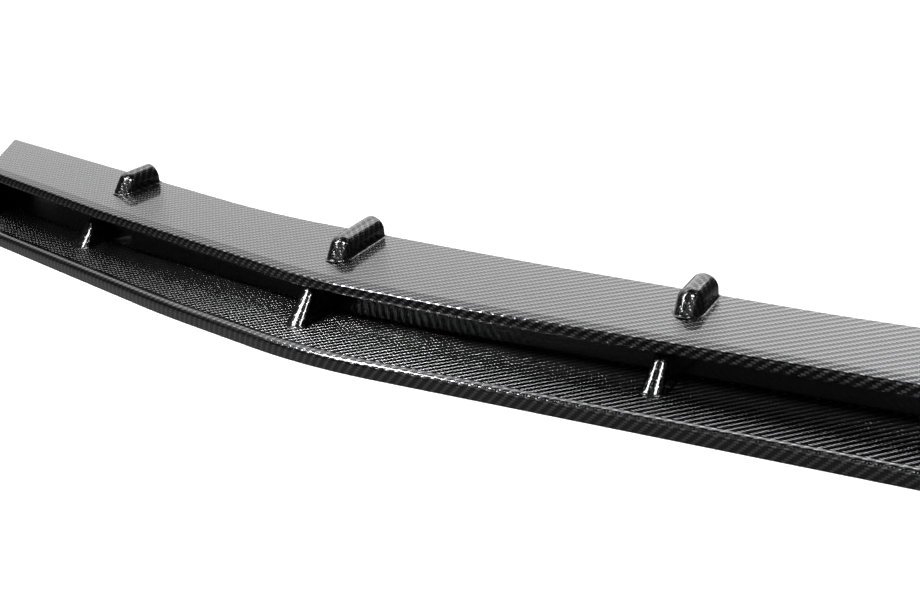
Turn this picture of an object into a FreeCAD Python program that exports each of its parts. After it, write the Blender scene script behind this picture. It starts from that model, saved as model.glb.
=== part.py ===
import FreeCAD, Part
import math
import os
import re
import Sketcher

# Two-tier front splitter lip in thin woven laminate.
# X runs across the car, Y runs backwards and Z runs up.
# The origin is on the centre plane, on the seat face of the rear flange,
# at the row of the two middle screw holes.

SIZES = {
    # Laminate
    "skin": 2.5,
    # Rear flange and its screws
    "screw_radius": 3.25,
    "screw_back": 9.0,
    "screw_inner_x": 150.0,
    "screw_middle_x": 440.0,
    "screw_outer_x": 730.0,
    "flange_reach": 23.0,
    # Upper blade seen from above: rear edge, from the centre plane outwards
    "rear_crown_x": 50.0,
    "rear_crown_radius": 1200.0,
    "rear_bow_x": 291.0,
    "rear_bow_back": 11.7,
    "rear_bow_radius": 3000.0,
    "rear_bend_x": 534.0,
    "rear_bend_back": 30.2,
    "rear_bend_radius": 900.0,
    "rear_tip_x": 926.0,
    "rear_tip_back": 115.9,
    # Upper blade seen from above: front edge
    "deck_depth": 75.0,
    "deck_bow_x": 300.0,
    "deck_bow_radius": 1500.0,
    "deck_bend_x": 432.0,
    "deck_bend_back": 6.5,
    "deck_bend_radius": 420.0,
    "deck_sweep_x": 700.0,
    "deck_sweep_back": 65.0,
    "deck_sweep_radius": 1500.0,
    "deck_tip_x": 885.0,
    "deck_tip_back": 112.7,
    # Upper blade: tilt, height and section
    "deck_tilt": 6.7,
    "deck_height": 34.0,
    "deck_face": 9.0,
    "deck_face_lean": 2.8,
    "deck_lap": 10.0,
    "deck_edge_radius": 2.8,
    "end_roll_radius": 5.0,
    # Channel wall and its bonding foot
    "wall_recess": 26.0,
    "wall_foot": 14.0,
    "wall_heel_radius": 3.2,
    # Lower blade seen from above: crest line of the front bead
    "crest_reach": 55.0,
    "crest_bend_x": 395.0,
    "crest_bend_radius": 500.0,
    "crest_sweep_x": 560.0,
    "crest_sweep_back": 39.0,
    "crest_sweep_radius": 1200.0,
    "crest_corner_x": 912.0,
    "crest_corner_back": 144.1,
    "crest_corner_radius": 45.0,
    "crest_end_x": 940.0,
    # Lower blade: front lip in section
    "bead_height": 5.0,
    "bead_front": 4.5,
    "bead_back": 1.5,
    "bead_ramp": 6.5,
    "bead_radius": 3.4,
    "bead_toe_radius": 5.0,
    "lip_drop": 8.0,
    "lip_undercut": 3.2,
    "lip_lap": 2.5,
    # Fins on the upper blade
    "fin_width": 21.0,
    "fin_height": 16.5,
    "fin_nose_angle": 52.0,
    "fin_setback": 0.5,
    "fin_inner_x": 139.0,
    "fin_inner_length": 44.0,
    "fin_inner_toe": 2.0,
    "fin_middle_x": 426.0,
    "fin_middle_length": 61.0,
    "fin_middle_toe": 4.0,
    "fin_outer_x": 695.0,
    "fin_outer_length": 44.0,
    "fin_outer_toe": 13.0,
    # Ribs in the channel
    "rib_width": 9.0,
    "rib_nose_radius": 4.2,
    "rib_lean": 45.0,
    "rib_inner_x": 144.0,
    "rib_inner_length": 42.0,
    "rib_middle_x": 436.0,
    "rib_middle_length": 46.4,
    "rib_outer_x": 730.0,
    "rib_outer_length": 30.8,
}

doc = FreeCAD.newDocument("splitter_lip")
sheet = doc.addObject("Spreadsheet::Sheet", "Sizes")
for row, (alias, size) in enumerate(SIZES.items(), start=1):
    sheet.set("A%d" % row, alias)
    sheet.set("B%d" % row, str(size))
    sheet.setAlias("B%d" % row, alias)
doc.recompute()


def formula(text):
    """Expression text with each size read from the sheet."""
    return re.sub(r"[a-z]\w*", lambda m: "Sizes." + m[0] if m[0] in SIZES else m[0], text)


def value(text):
    """The number that an expression on the sheet's sizes gives."""
    return float(sheet.evalExpression(formula(text)))


# Places along Y that more than one piece uses
REAR_Y = "(-screw_back - rear_bow_back * (screw_inner_x - rear_crown_x) / (rear_bow_x - rear_crown_x))"
FRONT_Y = "(%s - deck_depth)" % REAR_Y
CREST_Y = "(%s - crest_reach)" % FRONT_Y
END_SLOPE = ("((rear_tip_x - deck_tip_x)"
             " / (deck_depth + rear_tip_back - deck_tip_back))")
TIP_SLOPE = "((deck_tip_back - deck_sweep_back) / (deck_tip_x - deck_sweep_x))"
REAR_SLOPE = "((rear_tip_back - rear_bend_back) / (rear_tip_x - rear_bend_x))"


def front_edge(shift="0", scale="1"):
    """Front edge of the upper blade as corners from the centre plane outwards."""
    corners = [("0", "0"),
               ("deck_bow_x", "0", "deck_bow_radius"),
               ("deck_bend_x", "deck_bend_back", "deck_bend_radius"),
               ("deck_sweep_x", "deck_sweep_back", "deck_sweep_radius"),
               ("deck_tip_x", "deck_tip_back")]
    return [(x, "(%s + %s) * %s" % (y, shift, scale), *r) for x, y, *r in corners]


def rear_edge(shift="0", scale="1"):
    """Rear edge of the upper blade as corners from the centre plane outwards."""
    corners = [("0", "0"),
               ("rear_crown_x", "0", "rear_crown_radius"),
               ("rear_bow_x", "rear_bow_back", "rear_bow_radius"),
               ("rear_bend_x", "rear_bend_back", "rear_bend_radius"),
               ("rear_tip_x", "rear_tip_back")]
    return [(x, "(%s + %s) * %s" % (y, shift, scale), *r) for x, y, *r in corners]


def along(corners, x):
    """Height of a chain of corners at x, from the straight run that x lies on now."""
    for (x1, y1, *_), (x2, y2, *_) in zip(corners, corners[1:]):
        if value(x1) <= value(x) <= value(x2):
            slope = "((%s) - (%s)) / (%s - %s)" % (y2, y1, x2, x1)
            return "(%s + (%s - %s) * %s)" % (y1, x, x1, slope)
    raise ValueError("no run of the outline at " + x)


def new_body(name):
    """An empty body."""
    return doc.addObject("PartDesign::Body", name)


def origin_plane(body, role):
    """One of the body's own origin planes."""
    return next(item for item in body.Origin.OriginFeatures if item.Role == role)


def pin(sketch, geometry, point, axis, number, text):
    """Fix one coordinate of a sketch point, by the axis itself where it is zero."""
    if abs(number) < 1e-9 and text == "0":
        line = -2 if axis == "X" else -1
        sketch.addConstraint(Sketcher.Constraint("PointOnObject", geometry, point, line))
        return
    rule = Sketcher.Constraint("Distance" + axis, -1, 1, geometry, point, number)
    index = sketch.addConstraint(rule)
    name = "%s%d_%d" % (axis.lower(), geometry, point)
    sketch.renameConstraint(index, name)
    sketch.setExpression("Constraints." + name, formula(text))


def draw(sketch, corners, closed=True):
    """Draw straight runs through the corners, with a tangent arc where one has a radius.

    A corner is (x, y) or (x, y, radius), each an expression on the sheet's sizes.
    """
    points = [FreeCAD.Vector(value(x), value(y), 0) for x, y, *_ in corners]
    radii = [value(rest[0]) if rest else 0.0 for _, _, *rest in corners]
    count = len(corners)
    runs = count if closed else count - 1
    starts = list(points)
    ends = list(points)
    arcs = {}
    for i, radius in enumerate(radii):
        if radius == 0.0:
            continue
        into = (points[i] - points[i - 1]).normalize()
        out = (points[(i + 1) % count] - points[i]).normalize()
        turn = math.acos(max(-1.0, min(1.0, into.dot(out))))
        side = 1.0 if into.cross(out).z > 0 else -1.0
        trim = radius * math.tan(turn / 2)
        ends[i] = points[i] - into * trim
        starts[i] = points[i] + out * trim
        normal = FreeCAD.Vector(-into.y, into.x, 0) * side
        centre = ends[i] + normal * radius
        first, last = (ends[i], starts[i]) if side > 0 else (starts[i], ends[i])
        angles = [math.atan2(p.y - centre.y, p.x - centre.x) for p in (first, last)]
        if angles[1] < angles[0]:
            angles[1] += 2 * math.pi
        circle = Part.Circle(centre, FreeCAD.Vector(0, 0, 1), radius)
        arcs[i] = (Part.ArcOfCircle(circle, *angles), side > 0)
    lines = []
    for i in range(runs):
        segment = Part.LineSegment(starts[i], ends[(i + 1) % count])
        lines.append(sketch.addGeometry(segment, False))
    for i, (x, y, *rest) in enumerate(corners):
        before = lines[i - 1] if closed or i > 0 else None
        after = lines[i] if i < runs else None
        if i in arcs:
            shape, forward = arcs[i]
            arc = sketch.addGeometry(shape, False)
            corner = sketch.addGeometry(Part.Point(points[i]), True)
            first, last = (1, 2) if forward else (2, 1)
            sketch.addConstraint(Sketcher.Constraint("Tangent", before, 2, arc, first))
            sketch.addConstraint(Sketcher.Constraint("Tangent", arc, last, after, 1))
            sketch.addConstraint(Sketcher.Constraint("PointOnObject", corner, 1, before))
            sketch.addConstraint(Sketcher.Constraint("PointOnObject", corner, 1, after))
            index = sketch.addConstraint(Sketcher.Constraint("Radius", arc, radii[i]))
            name = "radius%d" % i
            sketch.renameConstraint(index, name)
            sketch.setExpression("Constraints." + name, formula(rest[0]))
            held = (corner, 1)
        elif after is None:
            held = (before, 2)
        else:
            held = (after, 1)
            if before is not None:
                sketch.addConstraint(Sketcher.Constraint("Coincident", before, 2, after, 1))
        pin(sketch, *held, "X", points[i].x, x)
        pin(sketch, *held, "Y", points[i].y, y)


def new_sketch(body, name, role, corners, closed=True):
    """A sketch of one chain of corners on an origin plane of its own body."""
    sketch = body.newObject("Sketcher::SketchObject", name)
    sketch.AttachmentSupport = [(origin_plane(body, role), "")]
    sketch.MapMode = "FlatFace"
    if corners:
        draw(sketch, corners, closed)
    return sketch


def draw_arch(sketch, radius, centre, foot):
    """Draw a half circle above its centre height, with straight sides down to a foot if given."""
    size, height = value(radius), value(centre)
    circle = Part.Circle(FreeCAD.Vector(0, height, 0), FreeCAD.Vector(0, 0, 1), size)
    arc = sketch.addGeometry(Part.ArcOfCircle(circle, 0, math.pi), False)
    pin(sketch, arc, 3, "X", 0.0, "0")
    pin(sketch, arc, 3, "Y", height, centre)
    index = sketch.addConstraint(Sketcher.Constraint("Radius", arc, size))
    sketch.renameConstraint(index, "arch_radius")
    sketch.setExpression("Constraints.arch_radius", formula(radius))
    low = height if foot is None else value(foot)
    points = [FreeCAD.Vector(x, y, 0) for x, y in
              ((-size, height), (-size, low), (size, low), (size, height))]
    if foot is None:
        base = sketch.addGeometry(Part.LineSegment(points[0], points[3]), False)
        rules = [("Coincident", arc, 2, base, 1), ("Coincident", base, 2, arc, 1), ("Horizontal", base)]
    else:
        left, base, right = [sketch.addGeometry(Part.LineSegment(*pair), False)
                             for pair in zip(points, points[1:])]
        rules = [("Tangent", arc, 2, left, 1), ("Coincident", left, 2, base, 1),
                 ("Coincident", base, 2, right, 1), ("Coincident", right, 2, arc, 1),
                 ("Vertical", left), ("Vertical", right), ("Horizontal", base)]
    for rule in rules:
        sketch.addConstraint(Sketcher.Constraint(*rule))
    if foot is not None:
        pin(sketch, left, 2, "Y", low, foot)


def end_sketch(body, name, corners, x, y, lean):
    """A sketch square to the end line of the deck, which passes through x, y."""
    sketch = new_sketch(body, name, "XZ_Plane", corners)
    sketch.AttachmentOffset = FreeCAD.Placement(FreeCAD.Vector(), FreeCAD.Rotation(
        FreeCAD.Vector(0, 1, 0), -math.degrees(math.atan(value(lean)))))
    sketch.setExpression("AttachmentOffset.Rotation.Angle", formula("-atan(%s)" % lean))
    sketch.setExpression("AttachmentOffset.Base.x", formula(x))
    sketch.setExpression("AttachmentOffset.Base.z", formula("-" + y))
    return sketch


def new_pad(body, name, sketch, length, **options):
    """Pad a sketch by a length from the sheet."""
    pad = body.newObject("PartDesign::Pad", name)
    pad.Profile = sketch
    pad.setExpression("Length", formula(length))
    for key, option in options.items():
        setattr(pad, key, option)
    return pad


def new_pocket(body, name, sketch, length, **options):
    """Cut a sketch out of its body, both ways from the sketch, and check that it cuts."""
    doc.recompute()
    before = body.Shape.Volume
    pocket = body.newObject("PartDesign::Pocket", name)
    pocket.Profile = sketch
    pocket.setExpression("Length", formula(length))
    pocket.Midplane = True
    for key, option in options.items():
        setattr(pocket, key, option)
    doc.recompute()
    if not pocket.Shape.Volume < before:
        raise RuntimeError(name + " cuts nothing")
    return pocket


def new_pipe(body, name, section, path, kind="PartDesign::AdditivePipe"):
    """Sweep a section along a path, to add it or to cut it away."""
    pipe = body.newObject(kind, name)
    pipe.Profile = section
    pipe.Spine = (path, [])
    return pipe


def mirror_across(body, name):
    """Add the other half of a body, across the centre plane."""
    doc.recompute()
    mirrored = body.newObject("PartDesign::Mirrored", name)
    mirrored.MirrorPlane = (origin_plane(body, "YZ_Plane"), [""])
    mirrored.TransformMode = "Whole shape"
    body.Tip = mirrored
    return mirrored


def round_edges(body, name, radius, wanted):
    """Fillet the edges of a body that the wanted test picks."""
    doc.recompute()
    tip = body.Tip
    names = ["Edge%d" % n for n, edge in enumerate(tip.Shape.Edges, start=1) if wanted(edge)]
    if not names:
        raise RuntimeError(name + " finds no edge")
    fillet = body.newObject("PartDesign::Fillet", name)
    fillet.Base = (tip, names)
    fillet.setExpression("Radius", formula(radius))
    doc.recompute()
    return fillet


def build_lower_blade():
    """Lower blade: floor, rolled front lip with its bead, and the screwed rear flange."""
    body = new_body("lower_blade")
    end_y = "(%s + rear_tip_back + (crest_end_x - rear_tip_x) * %s + flange_reach)" % (REAR_Y, REAR_SLOPE)
    crest = [("0", CREST_Y),
             ("crest_bend_x", CREST_Y, "crest_bend_radius"),
             ("crest_sweep_x", CREST_Y + " + crest_sweep_back", "crest_sweep_radius"),
             ("crest_corner_x", CREST_Y + " + crest_corner_back", "crest_corner_radius"),
             ("crest_end_x", end_y)]
    path = new_sketch(body, "lip_path", "XY_Plane", crest, closed=False)

    ramp = "(bead_height / bead_ramp)"
    ramp_skin = "(skin * sqrt(1 + %s * %s))" % (ramp, ramp)
    face = "(lip_undercut / (bead_height + lip_drop))"
    face_skin = "(skin * sqrt(1 + %s * %s))" % (face, face)
    toe = "(%s + bead_back + bead_ramp)" % CREST_Y
    front = "(%s - bead_front)" % CREST_Y
    lap_end = toe + " + bead_toe_radius"
    section = [(lap_end, "0"),
               (toe, "0", "bead_toe_radius"),
               (CREST_Y + " + bead_back", "bead_height", "bead_radius"),
               (front, "bead_height", "bead_radius"),
               (front + " + lip_undercut", "-lip_drop"),
               ("%s + lip_undercut + %s" % (front, face_skin), "-lip_drop"),
               ("%s + %s + skin * %s" % (front, face_skin, face), "bead_height - skin"),
               ("%s - (bead_height - skin + %s) / %s" % (toe, ramp_skin, ramp),
                "bead_height - skin"),
               ("%s - (%s - skin) / %s" % (toe, ramp_skin, ramp), "-skin",
                "bead_toe_radius + skin"),
               (lap_end, "-skin")]
    profile = new_sketch(body, "lip_section", "YZ_Plane", section)
    new_pipe(body, "lip", profile, path)

    lap = "(bead_back + bead_ramp + lip_lap)"
    sweep = "((crest_corner_back - crest_sweep_back) / (crest_corner_x - crest_sweep_x))"
    end = "((crest_end_x - crest_corner_x) / (%s - %s - crest_corner_back))" % (end_y, CREST_Y)
    corner_back = "(%s * (1 - %s) / (1 - %s * %s))" % (lap, sweep, sweep, end)
    corner_in = "(%s - %s * %s)" % (lap, end, corner_back)
    rear = rear_edge("flange_reach + " + REAR_Y)[:-1]
    rear_slope_drop = "%s * %s" % (lap, REAR_SLOPE)
    floor = [("0", "%s + %s" % (CREST_Y, lap)),
             ("crest_bend_x", "%s + %s" % (CREST_Y, lap), "crest_bend_radius"),
             ("crest_sweep_x", "%s + crest_sweep_back + %s" % (CREST_Y, lap), "crest_sweep_radius"),
             ("crest_corner_x - " + corner_in, "%s + crest_corner_back + %s" % (CREST_Y, corner_back),
              "crest_corner_radius - " + lap),
             ("crest_end_x - " + lap, "%s - %s" % (end_y, rear_slope_drop))]
    outline = new_sketch(body, "floor_outline", "XY_Plane", floor + rear[::-1])
    new_pad(body, "floor", outline, "skin", Reversed=True)
    mirror_across(body, "other_half")

    holes = new_sketch(body, "screw_centres", "XY_Plane", None)
    flange_line = rear_edge("screw_back + " + REAR_Y)
    for x in ("screw_inner_x", "screw_middle_x", "screw_outer_x"):
        y = along(flange_line, x)
        for sign in ("-", ""):
            centre = FreeCAD.Vector(value(sign + x), value(y), 0)
            circle = Part.Circle(centre, FreeCAD.Vector(0, 0, 1), value("screw_radius"))
            hole = holes.addGeometry(circle, False)
            pin(holes, hole, 3, "X", centre.x, sign + x)
            pin(holes, hole, 3, "Y", centre.y, y)
            index = holes.addConstraint(Sketcher.Constraint("Radius", hole, circle.Radius))
            holes.renameConstraint(index, "radius%d" % hole)
            holes.setExpression("Constraints.radius%d" % hole, formula("screw_radius"))
    new_pocket(body, "screw_holes", holes, "4 * skin")
    return body


COS_TILT = "cos(deck_tilt)"
SIN_TILT = "sin(deck_tilt)"


def deck_frame():
    """Frame of the upper blade: its top face, tilted up to the rear."""
    base = FreeCAD.Vector(0, value(FRONT_Y), value("deck_height"))
    return FreeCAD.Placement(base, FreeCAD.Rotation(FreeCAD.Vector(1, 0, 0), value("deck_tilt")))


def build_deck():
    """Top plate of the upper blade, its folded front edge and its rolled ends."""
    body = new_body("deck")
    flat = "1 / " + COS_TILT
    tip_x, tip_y = "deck_tip_x", "(deck_tip_back * %s)" % flat
    corner_x, corner_y = "rear_tip_x", "((deck_depth + rear_tip_back) * %s)" % flat
    front = front_edge("0", flat)[:-1]
    front.append(("deck_tip_x + wall_recess", "(deck_tip_back + wall_recess * %s) * %s" % (TIP_SLOPE, flat)))
    path = new_sketch(body, "edge_path", "XY_Plane", front, closed=False)
    under = "wall_recess + skin / 2"
    section = [("deck_lap", "0"),
               ("0", "0", "deck_edge_radius"),
               ("-deck_face_lean", "-deck_face", "deck_edge_radius"),
               (under, "-deck_face"),
               (under, "skin - deck_face"),
               ("skin - deck_face_lean", "skin - deck_face"),
               ("skin", "-skin"),
               ("deck_lap", "-skin")]
    profile = new_sketch(body, "edge_section", "YZ_Plane", section)
    new_pipe(body, "edge", profile, path)

    lap = "(deck_lap * 0.8)"
    lap_back = "(%s / (1 - %s * %s))" % (lap, TIP_SLOPE, END_SLOPE)
    front = front_edge(lap, flat)[:-1]
    front.append(("deck_tip_x + %s * %s" % (END_SLOPE, lap_back),
                  "(deck_tip_back + %s) * %s" % (lap_back, flat)))
    outline = new_sketch(body, "plate_outline", "XY_Plane", front + rear_edge("deck_depth", flat)[::-1])
    new_pad(body, "plate", outline, "skin", Reversed=True)

    lean = "(%s * %s)" % (END_SLOPE, COS_TILT)
    side, low = "-1.5 * end_roll_radius", "-(deck_height + deck_tip_back)"
    turn = [(side, "0"), ("0", "0", "end_roll_radius"), ("0", low)]
    inside = [("-skin", low), ("-skin", "-skin", "end_roll_radius - skin"), (side, "-skin")]
    outside = [("wall_recess", low), ("wall_recess", "end_roll_radius"), (side, "end_roll_radius")]
    run = "((%s - %s) * sqrt(1 + %s * %s))" % (corner_y, tip_y, lean, lean)
    roll = end_sketch(body, "roll_section", turn + inside, tip_x, tip_y, lean)
    new_pad(body, "end_roll", roll, "2 * (%s + wall_recess)" % run, Midplane=True)
    beyond = end_sketch(body, "roll_outside", turn + outside, tip_x, tip_y, lean)
    new_pocket(body, "end_cut", beyond, "4 * (%s + wall_recess)" % run)

    margin = "(%s + 3 * wall_recess)" % run
    trims = new_sketch(body, "end_trims", "XY_Plane", None)
    for x, y, slope, away in ((tip_x, tip_y, TIP_SLOPE, "-"), (corner_x, corner_y, REAR_SLOPE, "+")):
        drop = "%s * %s / %s" % (margin, slope, COS_TILT)
        draw(trims, [("%s - %s" % (x, margin), "%s - %s" % (y, drop)),
                     ("%s + %s" % (x, margin), "%s + %s" % (y, drop)),
                     ("%s + %s" % (x, margin), "%s %s 2 * %s" % (y, away, margin)),
                     ("%s - %s" % (x, margin), "%s %s 2 * %s" % (y, away, margin))])
    new_pocket(body, "end_trim", trims, "4 * (deck_height + deck_tip_back)")

    level = "(deck_height + (%s) * " + SIN_TILT + ") / " + COS_TILT
    ground = [("-deck_depth", "-" + level % "-deck_depth"),
              ("4 * deck_depth", "-" + level % "4 * deck_depth"),
              ("4 * deck_depth", "-4 * deck_depth"),
              ("-deck_depth", "-4 * deck_depth")]
    cutter = new_sketch(body, "ground_line", "YZ_Plane", ground)
    new_pocket(body, "ground_cut", cutter, "4 * rear_tip_x")
    mirror_across(body, "other_half")
    body.Placement = deck_frame()
    return body


def under_face(depth, height):
    """Section of what lies above a plane parallel to the deck, a depth below its face."""
    start = "(%s + (%s) * %s)" % (FRONT_Y, depth, SIN_TILT)
    base = "(deck_height - (%s) * %s)" % (depth, COS_TILT)
    run = "4 * deck_depth"
    rise = "4 * deck_depth * %s / %s" % (SIN_TILT, COS_TILT)
    return [("%s - %s" % (start, run), "%s - %s" % (base, rise)),
            ("%s + %s" % (start, run), "%s + %s" % (base, rise)),
            ("%s + %s" % (start, run), height),
            ("%s - %s" % (start, run), height)]


def wall_line(end_inset):
    """Front face of the channel wall, which follows the front edge of the deck."""
    back = "(wall_recess / (1 - %s * %s))" % (TIP_SLOPE, END_SLOPE)
    line = front_edge("wall_recess + " + FRONT_Y)[:-1]
    line.append(("deck_tip_x + %s * %s - %s" % (END_SLOPE, back, end_inset),
                 "%s + deck_tip_back + %s - %s * %s" % (FRONT_Y, back, end_inset, TIP_SLOPE)))
    return line


def build_wall():
    """Channel wall under the upper blade, with a foot that is bonded to the lower blade."""
    body = new_body("wall")
    path = new_sketch(body, "wall_path", "XY_Plane", wall_line("skin / 2"), closed=False)
    face = FRONT_Y + " + wall_recess"
    top = "2 * deck_height + deck_tip_back * " + SIN_TILT
    section = [(face, top),
               (face, "0", "wall_heel_radius"),
               (face + " + wall_foot", "0"),
               (face + " + wall_foot", "skin"),
               (face + " + skin", "skin"),
               (face + " + skin", top)]
    profile = new_sketch(body, "wall_section", "YZ_Plane", section)
    new_pipe(body, "wall_sheet", profile, path)
    cutter = new_sketch(body, "deck_line", "YZ_Plane", under_face("deck_face - skin", top + " + skin"))
    new_pocket(body, "deck_cut", cutter, "4 * rear_tip_x")
    mirror_across(body, "other_half")
    return body


def build_channel_space():
    """Air in the channel, ahead of the wall and under the deck, which the ribs fill."""
    body = new_body("channel_space")
    line = wall_line("skin")
    last_x = line[-1][0]
    outline = new_sketch(body, "space_outline", "XY_Plane",
                         line + [(last_x, CREST_Y), ("0", CREST_Y)])
    top = "2 * deck_height + deck_tip_back * " + SIN_TILT
    new_pad(body, "space", outline, top)
    cutter = new_sketch(body, "deck_line", "YZ_Plane", under_face("deck_face", top + " + skin"))
    new_pocket(body, "deck_cut", cutter, "4 * rear_tip_x")
    mirror_across(body, "other_half")
    return body


def build_rib(number, side, x, length):
    """One rib: a raked vane between the lower blade and the deck, run back to the wall."""
    body = new_body("rib_blank_%d" % number)
    toe = "(%s - %s)" % (along(wall_line("0"), x), length)
    back = toe + " + 3 * deck_height"
    top = "(2 * deck_height)"
    side_view = [(toe, "0"), (back, "0"), (back, top), ("%s + %s * tan(rib_lean)" % (toe, top), top)]
    profile = new_sketch(body, "rib_outline", "YZ_Plane", side_view)
    new_pad(body, "vane", profile, "rib_width", Midplane=True)
    lean = FreeCAD.Vector(0, math.sin(math.radians(value("rib_lean"))),
                          math.cos(math.radians(value("rib_lean"))))
    round_edges(body, "rounded_nose", "rib_nose_radius",
                lambda edge: abs(edge.tangentAt(edge.FirstParameter).dot(lean)) > 0.999)
    body.Placement = FreeCAD.Placement(FreeCAD.Vector(side * value(x), 0, 0), FreeCAD.Rotation())
    return body


def build_fin(number, side, x, length, toe):
    """One fin: a round-topped arch, square at its tail, with a raked half-round nose.

    The arch runs forwards from the tail, turns down by a slice of a ball, and goes on down
    to the deck as the nose, so that every face meets the next without a crease.
    """
    body = new_body("top_fin_%d" % number)
    radius = "(fin_width / 2)"
    axis_z = "(fin_height - fin_width / 2)"
    centre_y = "(%s / tan(fin_nose_angle) + %s / sin(fin_nose_angle) - %s)" % (axis_z, radius, length)
    arch = new_sketch(body, "arch", "XZ_Plane", None)
    draw_arch(arch, radius, axis_z, "-fin_width")
    arch.setExpression("AttachmentOffset.Base.z", formula("-" + centre_y))
    new_pad(body, "back", arch, "2 * " + length, Reversed=True)

    half = new_sketch(body, "half_disc", "XZ_Plane", None)
    draw_arch(half, radius, "0", None)
    half.setExpression("AttachmentOffset.Base.y", formula(axis_z))
    half.setExpression("AttachmentOffset.Base.z", formula("-" + centre_y))
    brow = body.newObject("PartDesign::Revolution", "brow")
    brow.Profile = half
    brow.ReferenceAxis = (half, ["H_Axis"])
    brow.setExpression("Angle", formula("fin_nose_angle"))

    nose = new_sketch(body, "nose_arch", "XZ_Plane", None)
    draw_arch(nose, radius, "0", "-2 * fin_height")
    nose.AttachmentOffset = FreeCAD.Placement(FreeCAD.Vector(), FreeCAD.Rotation(
        FreeCAD.Vector(1, 0, 0), value("fin_nose_angle")))
    nose.setExpression("AttachmentOffset.Rotation.Angle", formula("fin_nose_angle"))
    nose.setExpression("AttachmentOffset.Base.y", formula(axis_z))
    nose.setExpression("AttachmentOffset.Base.z", formula("-" + centre_y))
    new_pad(body, "nose", nose, "2 * fin_height")

    spare = "2 * " + length
    below = [("-" + spare, "0"), ("0", "0"), ("0", "2 * fin_height"), (spare, "2 * fin_height"),
             (spare, "-4 * fin_height"), ("-" + spare, "-4 * fin_height")]
    cutter = new_sketch(body, "foot_and_tail", "YZ_Plane", below)
    new_pocket(body, "trim", cutter, "2 * fin_width")
    rear = along(rear_edge("deck_depth", "1 / " + COS_TILT), x)
    place = FreeCAD.Vector(side * value(x), value(rear) - value("fin_setback"), 0)
    turn = FreeCAD.Rotation(FreeCAD.Vector(0, 0, 1), side * value(toe))
    body.Placement = deck_frame().multiply(FreeCAD.Placement(place, turn))
    return body


lower_blade = build_lower_blade()
doc.recompute()
deck = build_deck()
wall = build_wall()
doc.recompute()
upper_blade = doc.addObject("Part::MultiFuse", "upper_blade")
upper_blade.Shapes = [deck, wall]
upper_blade.Refine = True
space = build_channel_space()
doc.recompute()
pieces = {lower_blade: 1, upper_blade: 1}

stations = [(-1, "outer"), (-1, "middle"), (-1, "inner"), (1, "inner"), (1, "middle"), (1, "outer")]
fins = []
for number, (side, station) in enumerate(stations, start=1):
    fin_sizes = ["fin_%s_%s" % (station, size) for size in ("x", "length", "toe")]
    fins.append(build_fin(number, side, *fin_sizes))
    rib_sizes = ["rib_%s_%s" % (station, size) for size in ("x", "length")]
    blank = build_rib(number, side, *rib_sizes)
    rib = doc.addObject("Part::Common", "channel_rib_%d" % number)
    rib.Base = blank
    rib.Tool = space
    rib.Refine = True
    pieces[rib] = 1
doc.recompute()
top_fins = doc.addObject("Part::MultiFuse", "top_fins")
top_fins.Shapes = fins
pieces[top_fins] = len(fins)
doc.recompute()

for item in doc.Objects:
    if "Invalid" in item.State or "Error" in item.State:
        raise RuntimeError(item.Name + " did not build")
os.makedirs("parts", exist_ok=True)
for piece, solids in pieces.items():
    shape = piece.Shape
    if shape.isNull() or not shape.isValid() or len(shape.Solids) != solids:
        raise RuntimeError(piece.Label + " is not sound")
    shape.exportStep("parts/%s.step" % piece.Label)
    box = shape.BoundBox
    print("%-15s %9.1f mm3  x %.1f %.1f  y %.1f %.1f  z %.1f %.1f" % (
        piece.Label, shape.Volume, box.XMin, box.XMax, box.YMin, box.YMax, box.ZMin, box.ZMax))
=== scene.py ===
"""Looks of a two-tier front splitter lip in glossy woven laminate, built around its CAD nodes."""

import logging
import math
from dataclasses import dataclass
from enum import Enum
from typing import Any, Iterable, Iterator, Sequence, Union

import bmesh
import bpy
from mathutils import Matrix, Vector


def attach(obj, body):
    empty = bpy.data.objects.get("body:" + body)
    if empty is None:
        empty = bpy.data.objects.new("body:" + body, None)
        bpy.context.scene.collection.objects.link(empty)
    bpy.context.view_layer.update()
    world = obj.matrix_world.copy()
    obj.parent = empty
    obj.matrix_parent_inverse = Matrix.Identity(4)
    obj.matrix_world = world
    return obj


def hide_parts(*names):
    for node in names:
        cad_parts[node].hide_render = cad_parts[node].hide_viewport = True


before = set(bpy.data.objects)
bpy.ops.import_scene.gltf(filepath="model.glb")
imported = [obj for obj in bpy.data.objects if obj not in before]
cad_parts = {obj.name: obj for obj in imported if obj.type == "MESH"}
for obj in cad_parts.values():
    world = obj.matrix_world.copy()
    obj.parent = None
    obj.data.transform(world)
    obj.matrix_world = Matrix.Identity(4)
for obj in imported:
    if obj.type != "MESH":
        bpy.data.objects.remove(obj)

LOG = logging.getLogger("scene")
MM = 0.001
UP = Vector((0.0, 0.0, 1.0))
WHITE = (1.0, 1.0, 1.0, 1.0)

# Lines of the part on the centre plane, in metres.
FRONT_Y = -0.0888548
CREST_Y = -0.1438548
DECK_HEIGHT = 0.034
SKIN = 2.5 * MM

# The tilted top plate. FLAT takes a distance in plan to a distance on the plate.
DECK_TILT = math.radians(6.7)
FLAT = 1.0 / math.cos(DECK_TILT)
PLATE_DEPTH = 75.0
TIP_SLOPE = 0.257838
REAR_SLOPE = 0.218622
DECK_FRAME = Matrix.Translation((0.0, FRONT_Y, DECK_HEIGHT)) @ Matrix.Rotation(DECK_TILT, 4, "X")

# Meshing.
SHARP_ANGLE = math.radians(32.0)
HOLE_SEGMENTS = 40

# Fins from the centre plane outwards, in millimetres: x, rear end in plan, length; and the toe-in
# in degrees.
FINS = ((139.0, 79.321, 44.0, 2.0), (426.0, 96.978, 61.0, 4.0), (695.0, 140.398, 44.0, 13.0))
FIN_SETBACK = 0.5

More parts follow.
